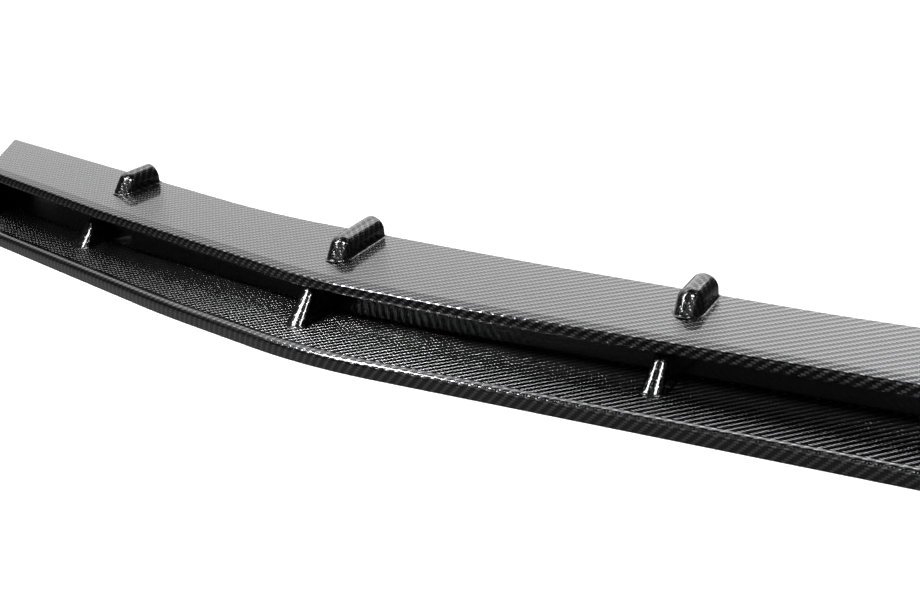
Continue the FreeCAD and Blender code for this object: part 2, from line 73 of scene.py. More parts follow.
# Ribs from the centre plane outwards, in millimetres: x, front of the foot, face of the wall.
RIBS = ((144.0, -104.855, -62.855), (436.0, -101.882, -55.482), (730.0, -20.92, 9.88))


class Plane(Enum):
    """The plane that a chain of corners is drawn in."""

    PLAN = "Z"
    SIDE = "X"

    def place(self, p: float, q: float) -> Vector:
        """Point of the plane in space."""
        return Vector((p, q, 0.0)) if self is Plane.PLAN else Vector((0.0, p, q))

    def turn(self, centre: Vector, angle: float) -> Matrix:
        """Turn about an axis square to the plane, through a centre."""
        there = Matrix.Translation(centre)
        return there @ Matrix.Rotation(angle, 4, self.value) @ there.inverted()


@dataclass(frozen=True)
class Chain:
    """Straight runs through corners in millimetres, with an arc at a corner that has a radius."""

    plane: Plane
    corners: tuple[tuple[float, ...], ...]
    sag: float = 0.004 * MM
    widest_step: float = math.radians(9.0)

    def start(self) -> Vector:
        """First corner of the chain."""
        return self.plane.place(*self.corners[0][:2]) * MM

    def steps(self) -> Iterator[Matrix]:
        """Yields the moves that carry a point from one station of the chain to the next."""
        points = [self.plane.place(*corner[:2]) * MM for corner in self.corners]
        here = points[0]
        for index in range(1, len(points)):
            into = (points[index] - points[index - 1]).normalized()
            radius = self.corners[index][2] * MM if len(self.corners[index]) > 2 else 0.0
            if radius == 0.0:
                yield Matrix.Translation(points[index] - here)
                here = points[index]
                continue
            out = (points[index + 1] - points[index]).normalized()
            turn = into.angle(out)
            side = math.copysign(1.0, into.cross(out).dot(self.axis()))
            begin = points[index] - into * radius * math.tan(turn / 2)
            yield Matrix.Translation(begin - here)
            centre = begin + self.axis().cross(into) * side * radius
            step = min(self.widest_step, 2.0 * math.acos(1.0 - min(self.sag / radius, 1.0)))
            count = max(1, math.ceil(turn / step))
            for _ in range(count):
                yield self.plane.turn(centre, side * turn / count)
            here = points[index] + out * radius * math.tan(turn / 2)

    def axis(self) -> Vector:
        """Direction square to the plane of the chain."""
        return UP if self.plane is Plane.PLAN else Vector((1.0, 0.0, 0.0))


def front_edge(back: float, scale: float, tail: tuple[float, float]) -> Chain:
    """Front edge of the upper blade in plan.

    Args:
        back: Distance by which the line is moved backwards, in millimetres.
        scale: Factor on the backward distances.
        tail: Last corner of the line, as it stands.
    """
    corners = ((0.0, 0.0), (300.0, 0.0, 1500.0), (432.0, 6.5, 420.0), (700.0, 65.0, 1500.0))
    return Chain(Plane.PLAN, tuple((x, (y + back) * scale, *r) for x, y, *r in corners) + (tail,))


def rear_edge(back: float, scale: float, end_x: float) -> Chain:
    """Rear edge of the upper blade in plan.

    Args:
        back: Distance by which the line is moved backwards, in millimetres.
        scale: Factor on the backward distances.
        end_x: Where the last straight run ends.
    """
    corners = ((0.0, 0.0), (50.0, 0.0, 1200.0), (291.0, 11.7, 3000.0), (534.0, 30.2, 900.0),
               (end_x, 30.2 + (end_x - 534.0) * REAR_SLOPE))
    return Chain(Plane.PLAN, tuple((x, (y + back) * scale, *r) for x, y, *r in corners))


class Mould:
    """A mesh under construction whose vertices carry their place on the flat cloth."""

    def __init__(self) -> None:
        """Starts an empty mesh with its cloth."""
        self.bm = bmesh.new()
        for name in ("cloth", "away"):
            self.bm.verts.layers.float_vector.new(name)
        self.cloth = self.bm.verts.layers.float_vector["cloth"]
        self.away = self.bm.verts.layers.float_vector["away"]

    def draw(self, chain: Chain, cloth: Vector, along: Vector) -> list[bmesh.types.BMEdge]:
        """Draws a section as a wire.

        Args:
            chain: Corners of the section.
            cloth: Place of its first point on the cloth.
            along: Direction on the cloth that the section follows.

        Returns:
            Edges of the section.
        """
        vert = bmesh.ops.create_vert(self.bm, co=chain.start())["vert"][0]
        vert[self.cloth] = cloth
        edges = []
        for move in chain.steps():
            made = bmesh.ops.extrude_vert_indiv(self.bm, verts=[vert])
            last, vert = vert, made["verts"][0]
            vert.co = move @ vert.co
            vert[self.cloth] = last[self.cloth] + along * (vert.co - last.co).length
            edges.append(made["edges"][0])
        return edges

    def extrude(self, edges: Sequence[bmesh.types.BMEdge]
                ) -> tuple[list[bmesh.types.BMVert], list[bmesh.types.BMEdge]]:
        """Extrudes edges in place and returns the new vertices and the edges between them."""
        made = bmesh.ops.extrude_edge_only(self.bm, edges=edges)["geom"]
        verts = [item for item in made if isinstance(item, bmesh.types.BMVert)]
        fresh = set(verts)
        rim = [item for item in made
               if isinstance(item, bmesh.types.BMEdge) and set(item.verts) <= fresh]
        return verts, rim

    def pull(self, edges: Sequence[bmesh.types.BMEdge], move: Matrix) -> list[bmesh.types.BMEdge]:
        """Extrudes edges by one move, with the cloth moved alike, and returns the new edges."""
        verts, rim = self.extrude(edges)
        bmesh.ops.transform(self.bm, matrix=move, verts=verts)
        for vert in verts:
            vert[self.cloth] = move @ vert[self.cloth]
        return rim

    def lay(self, edges: Sequence[bmesh.types.BMEdge], move: Matrix) -> list[bmesh.types.BMEdge]:
        """Extrudes edges by one move, with the cloth laid on by the way that each point goes."""
        verts, rim = self.extrude(edges)
        for vert in verts:
            there = move @ vert.co
            way = (there - vert.co).length
            vert[self.cloth] = vert[self.cloth] - Vector((0.0, way, 0.0))
            vert.co = there
        return rim

    def sweep(self, edges: Sequence[bmesh.types.BMEdge], path: Chain) -> list[bmesh.types.BMEdge]:
        """Extrudes a section along a path and returns its last edges."""
        for move in path.steps():
            edges = self.pull(edges, move)
        return list(edges)

    def plate(self, front: Sequence[Matrix], front_start: Vector, rear: Chain,
              holes: Iterable[tuple[float, float]] = (), hole_radius: float = 0.0) -> None:
        """Makes a flat plate between two lines that both start on the centre plane.

        Args:
            front: Moves of the front line.
            front_start: First point of the front line.
            rear: Rear line.
            holes: Centres of round holes, in millimetres.
            hole_radius: Their radius, in metres.
        """
        ends = []
        outline = []
        starts = []
        for start, moves in ((front_start, front), (rear.start(), rear.steps())):
            vert = bmesh.ops.create_vert(self.bm, co=start)["vert"][0]
            starts.append(vert)
            for move in moves:
                made = bmesh.ops.extrude_vert_indiv(self.bm, verts=[vert])
                vert = made["verts"][0]
                vert.co = move @ vert.co
                outline.append(made["edges"][0])
            ends.append(vert)
        outline.append(self.bm.edges.new(starts))
        outline.append(self.bm.edges.new(ends))
        for x, y in holes:
            place = Matrix.Translation(Vector((x, y, 0.0)) * MM)
            rim = bmesh.ops.create_circle(self.bm, segments=HOLE_SEGMENTS, radius=hole_radius,
                                          matrix=place)
            outline += list({edge for vert in rim["verts"] for edge in vert.link_edges})
        filled = bmesh.ops.triangle_fill(self.bm, use_beauty=True, edges=outline)["geom"]
        faces = [item for item in filled if isinstance(item, bmesh.types.BMFace)]
        bmesh.ops.recalc_face_normals(self.bm, faces=faces)
        if faces[0].normal.z < 0.0:
            bmesh.ops.reverse_faces(self.bm, faces=faces)
        for vert in {vert for face in faces for vert in face.verts}:
            vert[self.cloth] = vert.co
        made = bmesh.ops.extrude_face_region(self.bm, geom=faces, use_keep_orig=True)["geom"]
        low = [item for item in made if isinstance(item, bmesh.types.BMVert)]
        bmesh.ops.translate(self.bm, verts=low, vec=(0.0, 0.0, -SKIN))

    def cut(self, point: Vector, normal: Vector, close: bool = False) -> None:
        """Cuts away what lies beyond a plane.

        Args:
            point: A point of the plane.
            normal: Direction towards the side that is removed.
            close: Whether the opening that the cut leaves is filled.
        """
        everything = [*self.bm.verts, *self.bm.edges, *self.bm.faces]
        made = bmesh.ops.bisect_plane(self.bm, geom=everything, dist=1e-7, plane_co=point,
                                      plane_no=normal, clear_outer=True)["geom_cut"]
        if close:
            rim = [item for item in made
                   if isinstance(item, bmesh.types.BMEdge) and item.is_boundary]
            bmesh.ops.holes_fill(self.bm, edges=rim, sides=0)

    def flare(self, rim: Sequence[bmesh.types.BMEdge], size: float, steps: int = 7) -> None:
        """Ends an upright wall in a hollow fillet that runs out on the plane z = 0.

        Args:
            rim: Lower edges of the wall, at the height of the fillet.
            size: Radius of the fillet.
            steps: Number of rows of faces.
        """
        verts = {vert for edge in rim for vert in edge.verts}
        bmesh.ops.recalc_face_normals(self.bm, faces=self.bm.faces)
        for vert in verts:
            lean = sum((face.normal for face in vert.link_faces), Vector())
            lean.z = 0.0
            vert[self.away] = lean.normalized()
        edges = list(rim)
        for step in range(1, steps + 1):
            angle = math.pi / 2.0 * step / steps
            before = math.pi / 2.0 * (step - 1) / steps
            out = size * (math.cos(before) - math.cos(angle))
            drop = size * (math.sin(angle) - math.sin(before))
            fresh, edges = self.extrude(edges)
            for vert in fresh:
                vert.co += vert[self.away] * out - Vector((0.0, 0.0, drop))
                vert[self.cloth] = vert[self.cloth] + Vector((0.0, -math.hypot(out, drop), 0.0))

    def mirror(self) -> None:
        """Adds the other half across the centre plane, on the same flat cloth."""
        everything = [*self.bm.verts, *self.bm.edges, *self.bm.faces]
        bmesh.ops.mirror(self.bm, geom=everything, merge_dist=1e-6, axis="X")
        for vert in self.bm.verts:
            if vert.co.x < -1e-7:
                vert[self.cloth].x *= -1.0

    def shift_cloth(self, move: Matrix) -> None:
        """Moves the cloth under the whole mesh."""
        for vert in self.bm.verts:
            vert[self.cloth] = move @ vert[self.cloth]

    def cast(self, name: str, finish: "Finish",
             place: Matrix = Matrix.Identity(4)) -> bpy.types.Object:
        """Turns the mould into an object of the scene.

        Args:
            name: Name of the object.
            finish: Finish that its faces take.
            place: Where the mould stands; the object itself stays at the origin.

        Returns:
            The object.
        """
        bmesh.ops.remove_doubles(self.bm, verts=self.bm.verts, dist=1e-6)
        bmesh.ops.dissolve_degenerate(self.bm, edges=self.bm.edges, dist=1e-7)
        bmesh.ops.transform(self.bm, matrix=place, verts=self.bm.verts)
        bmesh.ops.recalc_face_normals(self.bm, faces=self.bm.faces)
        uv = self.bm.loops.layers.uv.new("cloth")
        for face in self.bm.faces:
            face.smooth = True
            for loop in face.loops:
                loop[uv].uv = loop.vert[self.cloth].xy
        mesh = bpy.data.meshes.new(name)
        self.bm.to_mesh(mesh)
        self.bm.free()
        mesh.set_sharp_from_angle(angle=SHARP_ANGLE)
        mesh.materials.append(finish.material())
        piece = bpy.data.objects.new(name, mesh)
        bpy.context.scene.collection.objects.link(piece)
        weigh = piece.modifiers.new("even_normals", "WEIGHTED_NORMAL")
        weigh.keep_sharp = True
        LOG.info("%s: %d faces", name, len(mesh.polygons))
        return piece


Value = Union["Wire", float, tuple, bpy.types.NodeSocket]


class Tree:
    """A shader tree to which nodes are added."""

    def __init__(self, tree: bpy.types.NodeTree) -> None:
        """Takes a node tree and empties it."""
        self.tree = tree
        tree.nodes.clear()

    def node(self, kind: str, settings: dict[str, Any] | None = None,
             inputs: dict[Any, Value] | None = None) -> bpy.types.Node:
        """Adds a node.

        Args:
            kind: Type of the node, without its common prefix.
            settings: Properties of the node.
            inputs: Values or links of its sockets, by name or number.

        Returns:
            The node.
        """
        node = self.tree.nodes.new("ShaderNode" + kind)
        for name, setting in (settings or {}).items():
            setattr(node, name, setting)
        for key, item in (inputs or {}).items():
            source = item.socket if isinstance(item, Wire) else item
            if isinstance(source, bpy.types.NodeSocket):
                self.tree.links.new(source, node.inputs[key])
            else:
                node.inputs[key].default_value = source
        return node

    def wire(self, kind: str, settings: dict[str, Any] | None = None,
             inputs: dict[Any, Value] | None = None) -> "Wire":
        """Adds a node and returns its first output."""
        return Wire(self, self.node(kind, settings, inputs).outputs[0])

    def grey(self, tone: Value) -> "Wire":
        """Colour of one even tone."""
        return self.wire("CombineColor", inputs={0: tone, 1: tone, 2: tone})

    def by_ray(self, seen: bpy.types.Node, thrown: bpy.types.Node) -> bpy.types.Node:
        """Mixes two shaders: one that the camera sees and one for all other rays."""
        factor = self.node("LightPath").outputs["Is Camera Ray"]
        return self.node("MixShader", inputs={0: factor, 1: thrown.outputs[0], 2: seen.outputs[0]})


class Wire:
    """An output socket on which arithmetic adds Math nodes."""

    def __init__(self, tree: Tree, socket: bpy.types.NodeSocket) -> None:
        """Takes a tree and one of its output sockets."""
        self.tree = tree
        self.socket = socket

    def math(self, operation: str, *others: Value, first: Value | None = None) -> "Wire":
        """Adds one Math node with this socket as its first value, unless another is given."""
        values = (self, *others) if first is None else (first, self)
        return self.tree.wire("Math", {"operation": operation}, dict(enumerate(values)))

    def __add__(self, other: Value) -> "Wire":
        """Sum."""
        return self.math("ADD", other)

    def __sub__(self, other: Value) -> "Wire":
        """Difference."""
        return self.math("SUBTRACT", other)

    def __rsub__(self, other: Value) -> "Wire":
        """Difference from a number."""
        return self.math("SUBTRACT", first=other)

    def __mul__(self, other: Value) -> "Wire":
        """Product."""
        return self.math("MULTIPLY", other)

    def __mod__(self, other: Value) -> "Wire":
        """Remainder, never below zero."""
        return self.math("FLOORED_MODULO", other)

    def __pow__(self, other: Value) -> "Wire":
        """Power."""
        return self.math("POWER", other)

    def __lt__(self, other: Value) -> "Wire":
        """One where this is the smaller, else zero."""
        return self.math("LESS_THAN", other)

    def floor(self) -> "Wire":
        """Largest whole number that isn't above."""
        return self.math("FLOOR")

    def sin(self) -> "Wire":
        """Sine."""
        return self.math("SINE")


def blend(tree: Tree, factor: Value, low: Value, high: Value) -> Wire:
    """Mixes two numbers by a factor."""
    return tree.wire("Mix", {"data_type": "FLOAT"}, {0: factor, 2: low, 3: high})


class Finish:
    """A finish that makes its material once."""

    name: str

    def build(self, tree: Tree) -> None:
        """Builds the nodes; each finish has its own."""
        raise NotImplementedError

    def material(self) -> bpy.types.Material:
        """The material of this finish."""
        known = bpy.data.materials.get(self.name)
        if known is None:
            known = bpy.data.materials.new(self.name)
            known.use_nodes = True
            self.build(Tree(known.node_tree))
        return known


@dataclass(frozen=True)
class Twill(Finish):
    """Two-by-two twill of dark fibre under a thick clear coat, with the fibre's sheen painted into
    its tones: a painted highlight makes the weft tows and the crown of each float brighter than
    the dark fibre.
    """

    name: str = "twill"
    pitch: float = 1.94 * MM
    across_slope: float = 0.30
    along_slope: float = 0.16
    # Painted highlight: the warp and weft tones are the dark fibre with its sheen painted in, the
    # weft much brighter than the warp.
    warp_tone_and_sheen: float = 0.03
    weft_tone_and_sheen: float = 0.24
    gap_tone: float = 0.002
    sharpness: float = 1.0
    bias: float = math.radians(-7.0)
    metallic: float = 1.0
    roughness: float = 0.20
    coat: float = 1.0
    coat_roughness: float = 0.03
    coat_ior: float = 1.52
    evenness: float = 0.6
    coolness: float = 1.03

    def build(self, tree: Tree) -> None:
        """Builds the nodes: cells of the weave, then lean, normal and tone of the tow in each; the
        tone is a painted highlight, brightest on the crown of each float and fading to the gap
        tone at its edges.
        """
        uv = tree.wire("UVMap", {"uv_map": "cloth"})
        parts = tree.node("SeparateXYZ", inputs={0: uv})
        cosine, sine = math.cos(self.bias) / self.pitch, math.sin(self.bias) / self.pitch
        plain_u, plain_v = Wire(tree, parts.outputs[0]), Wire(tree, parts.outputs[1])
        u = plain_u * cosine + plain_v * sine
        v = plain_v * cosine - plain_u * sine
        iu, iv = u.floor(), v.floor()
        fu, fv = u - iu, v - iv
        phase = (iu - iv) % 4.0
        warp = phase < 2.0
        across = blend(tree, warp, fv, fu) * 2.0 - 1.0
        along = blend(tree, warp, phase - 2.0 + fu, phase + 1.0 - fv) - 1.0
        lean_across = (across * across * across * self.across_slope
                       + across * (self.evenness * self.across_slope))
        lean_along = (along * (math.pi / 2.0)).sin() * self.along_slope
        lean_u = blend(tree, warp, lean_along, lean_across)
        lean_v = blend(tree, warp, lean_across, 0.0 - lean_along)
        colour = tree.wire("CombineXYZ",
                           inputs={0: lean_u * 0.5 + 0.5, 1: lean_v * 0.5 + 0.5, 2: 1.0})
        normal = tree.wire("NormalMap", {"uv_map": "cloth"}, {"Strength": 1.0, "Color": colour})
        # Painted highlight on the crown of each float, fading to the gap tone at its edges.
        painted_crown_highlight = ((1.0 - across ** 4.0) * (1.0 - along ** 4.0)) ** self.sharpness
        tone = blend(tree, painted_crown_highlight, self.gap_tone, blend(tree, warp, self.weft_tone_and_sheen, self.warp_tone_and_sheen))
        shade = tree.wire("CombineColor", inputs={0: tone, 1: tone, 2: tone * self.coolness})
        surface = tree.node("BsdfPrincipled", inputs={
            "Base Color": shade, "Metallic": self.metallic, "Roughness": self.roughness,
            "Normal": normal, "Coat Weight": self.coat, "Coat Roughness": self.coat_roughness,
            "Coat IOR": self.coat_ior})
        tree.node("OutputMaterial", inputs={"Surface": surface.outputs[0]})


@dataclass(frozen=True)
class Paper(Finish):
    """White floor that the camera sees overexposed, with the shadow still on it."""

    name: str = "paper"
    seen_tone: float = 0.92
    thrown_tone: float = 0.12
    lift: float = 0.30

    def build(self, tree: Tree) -> None:
        """Builds the nodes."""
        thrown = tree.node("BsdfDiffuse", inputs={"Color": (*[self.thrown_tone] * 3, 1.0)})
        plain = tree.node("BsdfDiffuse", inputs={"Color": (*[self.seen_tone] * 3, 1.0)})
        glow = tree.node("Emission", inputs={"Color": WHITE, "Strength": self.lift})
        bright = tree.node("AddShader", inputs={0: plain.outputs[0], 1: glow.outputs[0]})
        both = tree.by_ray(bright, thrown)
        tree.node("OutputMaterial", inputs={"Surface": both.outputs[0]})


@dataclass(frozen=True)
class Glow(Finish):
    """Light of a panel, from one strength at its left end to another at its right.

    The panel is clear to the camera.
    """

    name: str
    width: float
    left: float
    right: float

    def build(self, tree: Tree) -> None:
        """Builds the nodes."""
        place = tree.node("TexCoord").outputs["Object"]
        across = Wire(tree, tree.node("SeparateXYZ", inputs={0: place}).outputs[0])
        share = 0.5 - across * (1.0 / self.width)
        most = max(self.left, self.right)
        tone = share * ((self.right - self.left) / most) + self.left / most
        light = tree.node("Emission", inputs={"Color": tree.grey(tone), "Strength": most})
        both = tree.by_ray(tree.node("BsdfTransparent"), light)
        tree.node("OutputMaterial", inputs={"Surface": both.outputs[0]})


# Each laminate paints the fibre's sheen into its tones; the fins and ribs take a darker, calmer
# painted sheen.
LAMINATE = Twill()
FINE_LAMINATE = Twill("twill_on_fins", across_slope=0.20, along_slope=0.10, warp_tone_and_sheen=0.015,
                      weft_tone_and_sheen=0.10)
EDGE_LAMINATE = Twill("twill_on_edge", across_slope=0.07, along_slope=0.04, weft_tone_and_sheen=0.26,
                      roughness=0.18, coat=0.25)
# Painted highlight: on the channel floor the weft tows are painted nearly white, standing in for
# the glints of the fibre under the lights.
FLOOR_LAMINATE_WITH_PAINTED_GLINTS = Twill("twill_on_floor_painted_glints", across_slope=1.0, warp_tone_and_sheen=0.01, weft_tone_and_sheen=0.75,
                       sharpness=1.8, bias=math.radians(4.0), roughness=0.22)
BEAD_LAMINATE = Twill("twill_on_bead", across_slope=0.20, along_slope=0.08, weft_tone_and_sheen=0.20,
                      bias=math.radians(4.0))
# Painted shade: the channel wall is painted almost black under a dimmer, blurred coat, standing in
# for the shade under the upper blade.
SHADED_WALL_LAMINATE = Twill("twill_in_channel_painted_shade", across_slope=0.05, along_slope=0.02, warp_tone_and_sheen=0.004,
                      weft_tone_and_sheen=0.006, coat=0.5, coat_roughness=0.14)


def settle(piece: bpy.types.Object, *nodes: str) -> None:
    """Lets a piece ride the part in place of CAD nodes."""
    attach(piece, "root")
    if nodes:
        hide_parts(*nodes)


@dataclass
class LowerBlade:
    """Floor of the lip with its rolled front bead and its rear flange, in millimetres."""

    end_y: float = 128.106
    end_x: float = 940.0
    flange: float = 23.0
    rear_x: float = 927.3
    lap: float = 13.0
    hole_radius: float = 3.25
    holes: tuple[tuple[float, float], ...] = ((150.0, 0.0), (440.0, 18.189), (730.0, 68.195))

    def crest(self) -> Chain:
        """Crest line of the bead."""
        y = CREST_Y / MM
        return Chain(Plane.PLAN, ((0.0, y), (395.0, y, 500.0), (560.0, y + 39.0, 1200.0),
                                  (912.0, y + 144.1, 45.0), (self.end_x, self.end_y)))

    def section(self) -> Chain:
        """Section of the bead, the undercut lip and their inner faces."""
        y = CREST_Y / MM
        corners = ((self.lap, 0.0), (8.0, 0.0, 5.0), (2.2, 5.6, 2.6), (-4.8, 4.1, 4.6),
                   (-1.4, -7.6, 0.35), (-1.1, -8.0, 0.3), (1.0, -8.0, 0.35), (1.25, -7.6, 0.3),
                   (-1.31, 2.5), (0.65, 2.5), (7.15, -2.5, 7.5), (self.lap, -2.5))
        return Chain(Plane.SIDE, tuple((y + d, *rest) for d, *rest in corners))

    def build(self) -> None:
        """Builds the bead and the floor in place of their CAD node."""
        start = Vector((0.0, CREST_Y + self.lap * MM, 0.0))
        bead = Mould()
        wire = bead.draw(self.section(), start, Vector((0.0, -1.0, 0.0)))
        bead.sweep(wire, self.crest())
        bead.mirror()
        settle(bead.cast("lower_bead", BEAD_LAMINATE), "lower_blade")
        floor = Mould()
        rear = rear_edge(FRONT_Y / MM + PLATE_DEPTH + self.flange, 1.0, self.rear_x)
        front = list(self.crest().steps())
        floor.plate(front, start, rear, self.holes, self.hole_radius * MM)
        floor.mirror()
        settle(floor.cast("lower_floor", FLOOR_LAMINATE_WITH_PAINTED_GLINTS))


@dataclass
class UpperBlade:
    """Tilted top plate with its folded edge and rolled ends, and the wall below it.

    Lengths are in millimetres. The edge and the plate run on past the ends and are cut there.
    """

    lap: float = 10.0
    face: float = 9.0
    lean: float = 2.8
    edge_radius: float = 2.8
    under: float = 27.25
    roll: float = 5.0
    tip: tuple[float, float] = (885.0, 112.7)
    corner: tuple[float, float] = (926.0, 190.9)
    rear_x: float = 980.0
    run_on: float = 40.0
    end_cuts: int = 12
    end_gap: float = 0.06
    wall_recess: float = 26.0
    wall_height: float = 60.0
    wall_foot: float = 14.0
    wall_fold: float = 3.2
    wall_top: float = 8.5
    wall_tail: tuple[float, float] = (899.6, 116.465)

    def end_line(self) -> tuple[Vector, Vector, Vector, float]:
        """Tip, direction of the end line, its outward normal and its length, in the deck frame."""
        tip = Vector((self.tip[0], self.tip[1] * FLAT, 0.0)) * MM
        corner = Vector((self.corner[0], self.corner[1] * FLAT, 0.0)) * MM
        run = (corner - tip).normalized()
        return tip, run, run.cross(UP), (corner - tip).length

    def front_path(self) -> Chain:
        """Front edge in the deck frame, run on past the tip."""
        tail = (self.tip[0] + self.run_on, (self.tip[1] + self.run_on * TIP_SLOPE) * FLAT)
        return front_edge(0.0, FLAT, tail)

    def build(self) -> None:
        """Builds the moulding in place of its CAD node."""
        settle(self.build_edge(), "upper_blade")
        settle(self.build_plate())
        settle(self.build_ends())
        settle(self.build_wall())

    def build_edge(self) -> bpy.types.Object:
        """The folded front edge."""
        edge = Mould()
        skin = SKIN / MM
        section = Chain(Plane.SIDE, (
            (self.lap, 0.0), (0.0, 0.0, self.edge_radius),
            (-self.lean, -self.face, self.edge_radius), (self.under, -self.face),
            (self.under, skin - self.face), (skin - self.lean, skin - self.face),
            (skin, -skin), (self.lap, -skin)))
        wire = edge.draw(section, Vector((0.0, self.lap * MM, 0.0)), Vector((0.0, -1.0, 0.0)))
        edge.sweep(wire, self.front_path())
        tip, _, out, _ = self.end_line()
        radius = self.roll * MM
        axis = tip - out * radius - Vector((0.0, 0.0, radius))
        for count in range(1, self.end_cuts + 1):
            angle = math.radians(90.0 * count / self.end_cuts)
            away = out * math.sin(angle) + Vector((0.0, 0.0, math.cos(angle)))
            edge.cut(axis + away * (radius - self.end_gap * MM), away)
        edge.mirror()
        return edge.cast("upper_edge", EDGE_LAMINATE, DECK_FRAME)

    def build_plate(self) -> bpy.types.Object:
        """The flat top plate."""
        top = Mould()
        start = Vector((0.0, self.lap * MM, 0.0))
        rear = rear_edge(PLATE_DEPTH, FLAT, self.rear_x)
        top.plate(list(self.front_path().steps()), start, rear)
        tip, _, out, _ = self.end_line()
        top.cut(tip - out * self.roll * MM, out)
        top.mirror()
        return top.cast("upper_plate", LAMINATE, DECK_FRAME)

    def build_ends(self) -> bpy.types.Object:
        """The rolled-down ends."""
        ends = Mould()
        tip, run, out, length = self.end_line()
        roll, skin = self.roll, SKIN / MM
        section = Chain(Plane.SIDE, ((-roll, 0.0), (0.0, 0.0, roll), (0.0, -90.0), (-skin, -90.0),
                                     (-skin, -skin, roll - skin), (-roll, -skin)),
                        widest_step=math.radians(5.0))
        place = Matrix(((run.x, out.x, 0.0, tip.x), (run.y, out.y, 0.0, tip.y),
                        (0.0, 0.0, 1.0, 0.0), (0.0, 0.0, 0.0, 1.0)))
        wire = ends.draw(section, Vector((0.0, -roll * MM, 0.0)), Vector((0.0, 1.0, 0.0)))
        spare = self.run_on * MM
        bmesh.ops.translate(ends.bm, verts=ends.bm.verts, vec=(-spare, 0.0, 0.0))
        ends.shift_cloth(Matrix.Translation((-spare, 0.0, 0.0)))
        ends.pull(wire, Matrix.Translation((length + 2.0 * spare, 0.0, 0.0)))
        bmesh.ops.transform(ends.bm, matrix=place, verts=ends.bm.verts)
        ends.shift_cloth(place)
        ends.cut(tip, Vector((TIP_SLOPE * FLAT, -1.0, 0.0)))
        ends.cut(tip + run * length, Vector((-REAR_SLOPE * FLAT, 1.0, 0.0)))
        ground = DECK_FRAME.inverted()
        ends.cut(ground.to_translation(), ground.to_3x3() @ -UP)
        ends.mirror()
        return ends.cast("upper_ends", LAMINATE, DECK_FRAME)

    def build_wall(self) -> bpy.types.Object:
        """The channel wall with its foot."""
        wall = Mould()
        skin = SKIN / MM
        face = FRONT_Y / MM + self.wall_recess
        toe = face + self.wall_foot
        section = Chain(Plane.SIDE, (
            (face, self.wall_height), (face, 0.0, self.wall_fold), (toe, 0.0), (toe, skin),
            (face + skin, skin), (face + skin, self.wall_height)))
        top = Vector((0.0, (face - self.wall_height) * MM, 0.0))
        wire = wall.draw(section, top, Vector((0.0, 1.0, 0.0)))
        tail_x, tail_y = self.wall_tail
        wall.sweep(wire, front_edge(face, 1.0, (tail_x, face + tail_y)))
        wall.cut(DECK_FRAME @ (UP * (-self.wall_top * MM)), DECK_FRAME.to_3x3() @ UP)
        wall.mirror()
        return wall.cast("channel_wall", SHADED_WALL_LAMINATE)


@dataclass
class Fin:
    """A round-topped fin with a raked half-round nose, bonded on the top plate.

    Lengths are in millimetres and the toe-in is in degrees. The fin is built with its tail on the
    origin and then set in the frame of the plate.
    """

    number: int
    x: float
    rear: float
    length: float
    toe: float
    radius: float = 10.5
    axis_z: float = 6.0
    rake: float = math.radians(52.0)
    flare: float = 2.0
    tail_radius: float = 2.6
    arch_segments: int = 48
    nose_steps: int = 12

    def build(self) -> bpy.types.Object:
        """Builds the fin in the deck frame."""
        fin = Mould()
        radius, low = self.radius * MM, self.axis_z * MM
        front = low / math.tan(self.rake) + radius / math.sin(self.rake) - self.length * MM
        upright = Matrix.Translation((0.0, 0.0, low)) @ Matrix.Rotation(math.pi / 2, 4, "X")
        arch = bmesh.ops.create_circle(fin.bm, segments=self.arch_segments, radius=radius,
                                       cap_ends=False, matrix=upright)
        under = [vert for vert in arch["verts"] if vert.co.z < low - 1e-6]
        bmesh.ops.delete(fin.bm, geom=under, context="VERTS")
        for vert in fin.bm.verts:
            vert[fin.cloth] = Vector((-radius * math.atan2(vert.co.x, vert.co.z - low), 0.0, 0.0))
        edges = fin.lay(list(fin.bm.edges), Matrix.Translation((0.0, front, 0.0)))
        turn = Plane.SIDE.turn(Vector((0.0, front, low)), self.rake / self.nose_steps)
        for _ in range(self.nose_steps):
            edges = fin.lay(edges, turn)
        down = Vector((0.0, -math.cos(self.rake), -math.sin(self.rake))) * (2.0 * low)
        fin.lay(edges, Matrix.Translation(down))
        bmesh.ops.remove_doubles(fin.bm, verts=fin.bm.verts, dist=1e-7)
        sides = [edge for edge in fin.bm.edges if edge.is_boundary
                 and all(abs(abs(vert.co.x) - radius) < 1e-6 for vert in edge.verts)]
        fin.lay(sides, Matrix.Translation((0.0, 0.0, -2.0 * low)))
        fin.cut(UP * (self.flare * MM), -UP)
        self.close_tail(fin)
        fin.flare([edge for edge in fin.bm.edges if edge.is_boundary], self.flare * MM)
        side = math.copysign(1.0, self.x)
        place = (DECK_FRAME @ Matrix.Translation(Vector((self.x, self.rear, 0.0)) * MM)
                 @ Matrix.Rotation(side * math.radians(self.toe), 4, "Z"))
        return fin.cast("fin_%d" % self.number, FINE_LAMINATE, place)

    def close_tail(self, fin: Mould) -> None:
        """Fills the tail and rounds its rim."""
        rim = [edge for edge in fin.bm.edges
               if edge.is_boundary and all(abs(vert.co.y) < 1e-6 for vert in edge.verts)]
        foot = [vert for vert in {vert for edge in rim for vert in edge.verts}
                if vert.co.z < self.flare * MM + 1e-6]
        rim.append(fin.bm.edges.new(foot))
        tail = bmesh.ops.contextual_create(fin.bm, geom=rim)["faces"]
        fin.bm.verts.ensure_lookup_table()
        turned = [edge for edge in tail[0].edges if not edge.is_boundary]
        bmesh.ops.bevel(fin.bm, geom=turned, offset=self.tail_radius * MM, offset_type="OFFSET",
                        segments=6, profile=0.5, affect="EDGES", material=-1)


